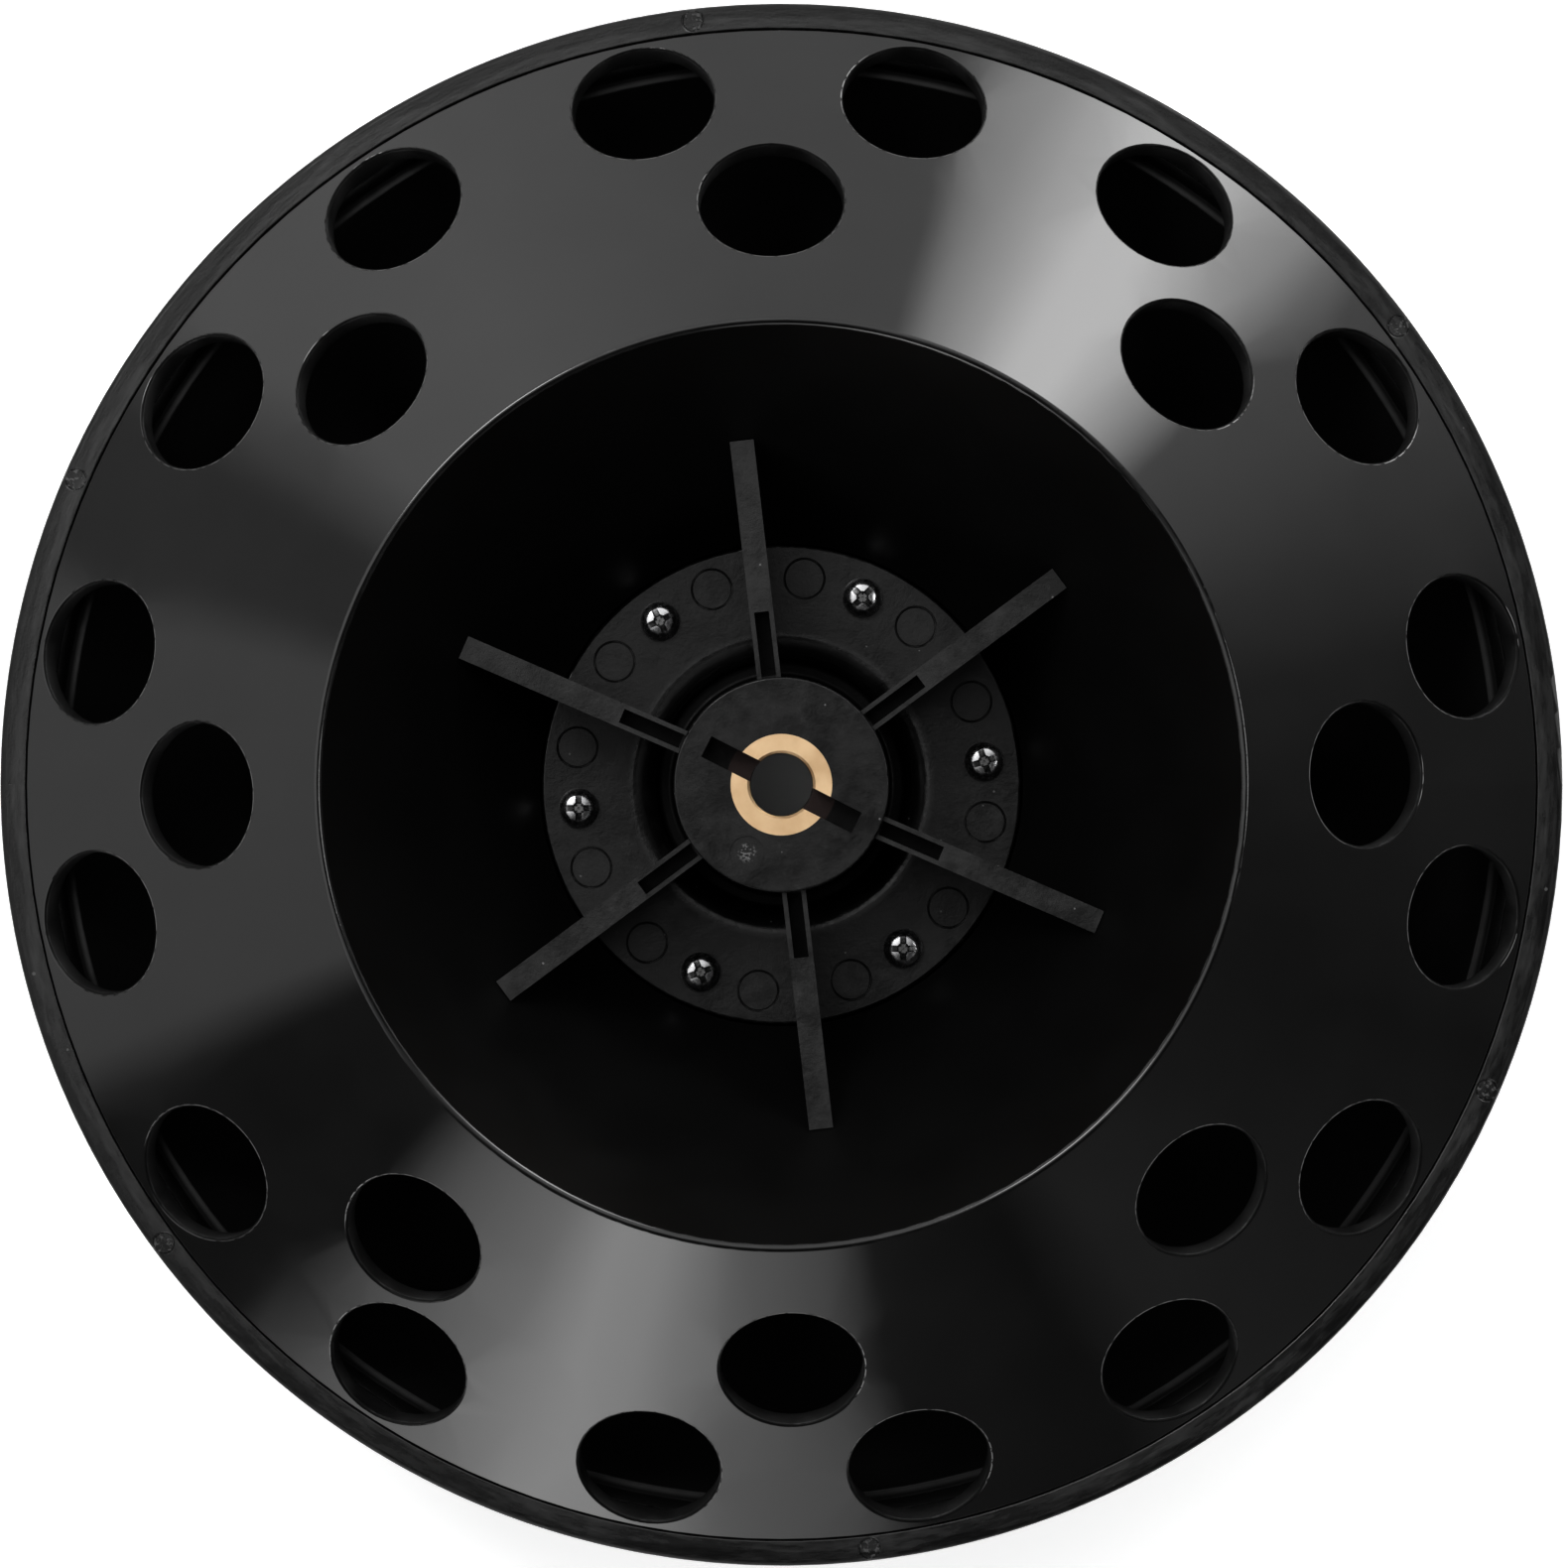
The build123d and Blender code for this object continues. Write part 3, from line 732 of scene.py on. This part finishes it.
def recess_arm(name, turn):
    """One bar of the cross recess, narrower towards its foot."""
    corners = []
    for half_length, half_width, rise in (RECESS_FOOT, RECESS_TOP):
        for side_x, side_y in ((-1, -1), (1, -1), (1, 1), (-1, 1)):
            x = side_x * half_length * MM
            y = side_y * half_width * MM
            across = x * math.cos(turn) - y * math.sin(turn)
            along = x * math.sin(turn) + y * math.cos(turn)
            corners.append((across, along, (HEAD_HEIGHT + rise) * MM))
    faces = [(3, 2, 1, 0), (4, 5, 6, 7), (0, 1, 5, 4), (1, 2, 6, 5), (2, 3, 7, 6), (3, 0, 4, 7)]
    return piece_of(name, corners, faces)


def screw_mesh():
    """Pan head screw with a cross recess, standing on z = 0 at the flange's face."""
    tip = (SCREW_TIP_Z - RIM_Z) / MM - FLANGE_FACE_H
    profile = [
        (0, tip),
        (SHANK_R - SHANK_BREAK, tip),
        (SHANK_R, tip + SHANK_BREAK),
        (SHANK_R, 0),
        (HEAD_R - HEAD_FOOT_BREAK, 0),
        (HEAD_R, HEAD_FOOT_BREAK),
    ]
    first, last = math.radians(HEAD_BREAK), math.radians(HEAD_SIDE)
    bow = (HEAD_R - HEAD_FLAT_R) / (math.sin(last) - math.sin(first))
    for step in range(DOME_STEPS + 1):
        slope = last + (first - last) * step / DOME_STEPS
        radius = HEAD_FLAT_R + bow * (math.sin(slope) - math.sin(first))
        profile.append((radius, HEAD_HEIGHT - bow * (math.cos(first) - math.cos(slope))))
    profile.append((0, HEAD_HEIGHT + HEAD_CROWN))
    head = lathe("screw_blank", [(radius * MM, z * MM) for radius, z in profile], HEAD_SEGMENTS)
    cone_top = HEAD_HEIGHT + RECESS_TOP[2]
    cone = [(0, HEAD_HEIGHT - RECESS_CONE_DEPTH), (RECESS_CONE_R, cone_top), (0, cone_top)]
    cutters = [
        recess_arm("recess_arm_a", 0.0),
        recess_arm("recess_arm_b", math.pi / 2),
        lathe("recess_cone", [(radius * MM, z * MM) for radius, z in cone], RECESS_SEGMENTS),
    ]
    for cutter in cutters:
        cut = head.modifiers.new(cutter.name, "BOOLEAN")
        cut.operation = "DIFFERENCE"
        cut.solver = "EXACT"
        cut.object = cutter
    bpy.context.view_layer.update()
    shaped = head.evaluated_get(bpy.context.evaluated_depsgraph_get())
    mesh = bpy.data.meshes.new_from_object(shaped)
    for used in [head, *cutters]:
        bpy.data.objects.remove(used)
    return mesh


def well_edge_bead(material):
    """Fine turned bead that carries the rounded edge between cone and well."""
    lean = math.radians(TUBE_TILT)
    wall = math.radians(WELL_TILT)
    cone_normal = (math.sin(lean), math.cos(lean))
    wall_normal = (-math.cos(wall), math.sin(wall))
    share = 1 + cone_normal[0] * wall_normal[0] + cone_normal[1] * wall_normal[1]
    centre = [WELL_EDGE_R, WELL_EDGE_H]
    for axis in (0, 1):
        centre[axis] -= WELL_EDGE_ROUND * (cone_normal[axis] + wall_normal[axis]) / share
    start = math.atan2(cone_normal[1], cone_normal[0])
    end = math.atan2(wall_normal[1], wall_normal[0])
    reach = WELL_EDGE_ROUND + BEAD_EXTRA
    profile = [(centre[0], centre[1])]
    for step in range(BEAD_STEPS + 1):
        turn = start + (end - start) * step / BEAD_STEPS
        radius = centre[0] + reach * math.cos(turn)
        profile.append((radius, centre[1] - BEAD_EXTRA + reach * math.sin(turn)))
    rows = [(radius * MM, RIM_Z + height * MM) for radius, height in profile]
    bead = lathe("well_edge_bead", rows, BEAD_SEGMENTS, closed=True)
    bead.data.materials.append(material)
    smooth(bead)
    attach(bead, "root")


def hub_screws(material):
    """The six screws, each with its cross turned as it was left."""
    shape = screw_mesh()
    shape.materials.clear()
    shape.materials.append(material)
    for index, cross_turn in enumerate(CROSS_TURNS):
        piece = bpy.data.objects.new("pan_screw_" + str(index), shape.copy())
        bpy.context.scene.collection.objects.link(piece)
        azimuth = math.radians(SCREW_START + index * FIN_PITCH)
        circle = SCREW_CIRCLE_R * MM
        piece.location = (circle * math.cos(azimuth), circle * math.sin(azimuth), FLANGE_Z)
        piece.rotation_euler = (0, 0, math.radians(cross_turn))
        smooth(piece)
        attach(piece, "root")
        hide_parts("hub_screws")
    bpy.data.meshes.remove(shape)


# ---- studio ----------------------------------------------------------------------------------
def glow(name):
    """Emission material. Returns the finish and its emission node."""
    finish = Finish(name)
    finish.nodes.remove(finish.shader)
    lamp = finish.nodes.new("ShaderNodeEmission")
    surface = finish.nodes["Material Output"].inputs["Surface"]
    finish.links.new(lamp.outputs["Emission"], surface)
    return finish, lamp


def studio_ring():
    """Curved cards round the rotor: bright and black panels, seen only in reflections."""
    corners = []
    faces = []
    for step in range(RING_STEPS):
        turn = 2 * math.pi * step / RING_STEPS
        for z in (RING_LOW, RING_HIGH):
            corners.append((RING_RADIUS * math.cos(turn), RING_RADIUS * math.sin(turn), z))
        low = 2 * step
        after = (low + 2) % (2 * RING_STEPS)
        faces.append((low, low + 1, after + 1, after))
    ring = piece_of("studio_ring", corners, faces)
    finish, lamp = glow("studio_cards")
    azimuth = finish.polar()[1]
    share = finish.math("FRACT", finish.math("DIVIDE", azimuth, 2 * math.pi))
    ramp = finish.nodes.new("ShaderNodeValToRGB")
    elements = ramp.color_ramp.elements
    while len(elements) > 1:
        elements.remove(elements[-1])
    for index, (degrees, level) in enumerate(CARDS):
        element = elements[0] if index == 0 else elements.new(degrees / 360)
        element.position = degrees / 360
        element.color = (*grey(level / CARD_PEAK), 1)
    finish.links.new(share, ramp.inputs["Fac"])
    finish.links.new(ramp.outputs["Color"], lamp.inputs["Color"])
    lamp.inputs["Strength"].default_value = CARD_PEAK
    ring.data.materials.append(finish.material)
    ring.visible_camera = False


def studio_ceiling():
    """Large soft ceiling, brighter towards one side, seen only in reflections."""
    bpy.ops.mesh.primitive_circle_add(
        vertices=CEILING_SEGMENTS,
        radius=2 * RING_RADIUS,
        fill_type="NGON",
        location=(0, 0, CEILING_Z),
    )
    ceiling = bpy.context.object
    ceiling.name = "studio_ceiling"
    finish, lamp = glow("soft_ceiling")
    x, y, _ = finish.place()
    towards = math.radians(CEILING_AZIMUTH)
    along = finish.add(
        finish.times(x, math.cos(towards)), finish.times(y, math.sin(towards))
    )
    level = finish.spread(along, *CEILING_SPAN, *CEILING_LEVELS)
    finish.links.new(level, lamp.inputs["Strength"])
    ceiling.data.materials.append(finish.material)
    ceiling.visible_camera = False


def studio_floor():
    """Plain pale floor: the camera sees it white, and the shadow stays."""
    bpy.ops.mesh.primitive_plane_add(size=FLOOR_SIZE, location=(0, 0, 0))
    floor = bpy.context.object
    floor.name = "studio_floor"
    finish = Finish("pale_floor", base=(*grey(FLOOR_WHITE), 1), rough=0.9, gloss=0.1)
    path = finish.nodes.new("ShaderNodeLightPath")
    seen = finish.larger(path.outputs["Is Camera Ray"], path.outputs["Is Glossy Ray"])
    seen = finish.larger(seen, path.outputs["Is Transmission Ray"])
    # none of it under the rotor, so that the shaft bore stays dark
    outside = finish.spread(finish.polar()[0], *FLOOR_GLOW_SPAN, 0, FLOOR_GLOW)
    lamp = finish.nodes.new("ShaderNodeEmission")
    finish.links.new(finish.times(seen, outside), lamp.inputs["Strength"])
    both = finish.nodes.new("ShaderNodeAddShader")
    surface = finish.nodes["Material Output"].inputs["Surface"]
    finish.links.new(finish.shader.outputs["BSDF"], both.inputs[0])
    finish.links.new(lamp.outputs["Emission"], both.inputs[1])
    finish.links.new(both.outputs["Shader"], surface)
    floor.data.materials.append(finish.material)


def studio_world():
    """White surroundings to the camera and in mirrors, softer light on everything else."""
    world = bpy.data.worlds.new("studio")
    bpy.context.scene.world = world
    world.use_nodes = True
    nodes = world.node_tree.nodes
    links = world.node_tree.links
    path = nodes.new("ShaderNodeLightPath")
    seen = path.outputs["Is Camera Ray"]
    for name in ("Is Glossy Ray", "Is Transmission Ray"):
        either = nodes.new("ShaderNodeMath")
        either.operation = "MAXIMUM"
        links.new(seen, either.inputs[0])
        links.new(path.outputs[name], either.inputs[1])
        seen = either.outputs["Value"]
    strength = nodes.new("ShaderNodeMapRange")
    strength.inputs["To Min"].default_value = WORLD_LIGHT
    strength.inputs["To Max"].default_value = 1.0
    links.new(seen, strength.inputs["Value"])
    background = nodes["Background"]
    background.inputs["Color"].default_value = (1, 1, 1, 1)
    links.new(strength.outputs["Result"], background.inputs["Strength"])


def soft_lamp(name, azimuth, elevation, power):
    """Round area lamp that looks at the rotor."""
    light = bpy.data.lights.new(name, "AREA")
    light.shape = "DISK"
    light.size = LAMP_SIZE
    light.energy = power
    lamp = bpy.data.objects.new(name, light)
    bpy.context.scene.collection.objects.link(lamp)
    flat = LAMP_DISTANCE * math.cos(math.radians(elevation))
    rise = LAMP_DISTANCE * math.sin(math.radians(elevation))
    turn = math.radians(azimuth)
    lamp.location = (flat * math.cos(turn), flat * math.sin(turn), rise)
    lamp.rotation_euler = lamp.location.to_track_quat("Z", "Y").to_euler()


def photo_camera():
    """Straight above the drive side, framed as the picture is."""
    camera_data = bpy.data.cameras.new("photo_camera")
    camera_data.sensor_fit = "HORIZONTAL"
    camera_data.sensor_width = SENSOR_MM
    view_width = IMAGE_WIDTH_PX * RIM_R / RIM_RADIUS_PX
    camera_data.lens = SENSOR_MM * CAMERA_RISE / view_width
    camera_data.shift_x = (IMAGE_WIDTH_PX / 2 - RIM_CENTRE_PX[0]) / IMAGE_WIDTH_PX
    camera_data.shift_y = (RIM_CENTRE_PX[1] - IMAGE_HEIGHT_PX / 2) / IMAGE_WIDTH_PX
    camera = bpy.data.objects.new("photo_camera", camera_data)
    bpy.context.scene.collection.objects.link(camera)
    camera.location = (0, 0, RIM_Z + CAMERA_RISE)
    bpy.context.scene.camera = camera


lower_finishes = (gloss_plastic(), well_plastic(), bore_plastic(), edge_plastic())
upper_finishes = (rim_plastic(), inner_plastic(), corner_plastic())
sort_lower_faces(dress("lower_shell", *lower_finishes))
sort_upper_faces(dress("upper_shell", *upper_finishes))
dress("drive_hub", hub_plastic())
dress("hub_bush", turned_brass("turned_brass"))
# the inserts lie wholly under the tower's top, so painted shade darkens all of them
dress("screw_inserts", turned_brass("insert_brass"))
hub_screws(plated_steel())
well_edge_bead(bead_plastic())

studio_floor()
studio_world()
studio_ring()
studio_ceiling()
for lamp in LAMPS:
    soft_lamp(*lamp)
photo_camera()

scene = bpy.context.scene
scene.view_settings.view_transform = "Standard"
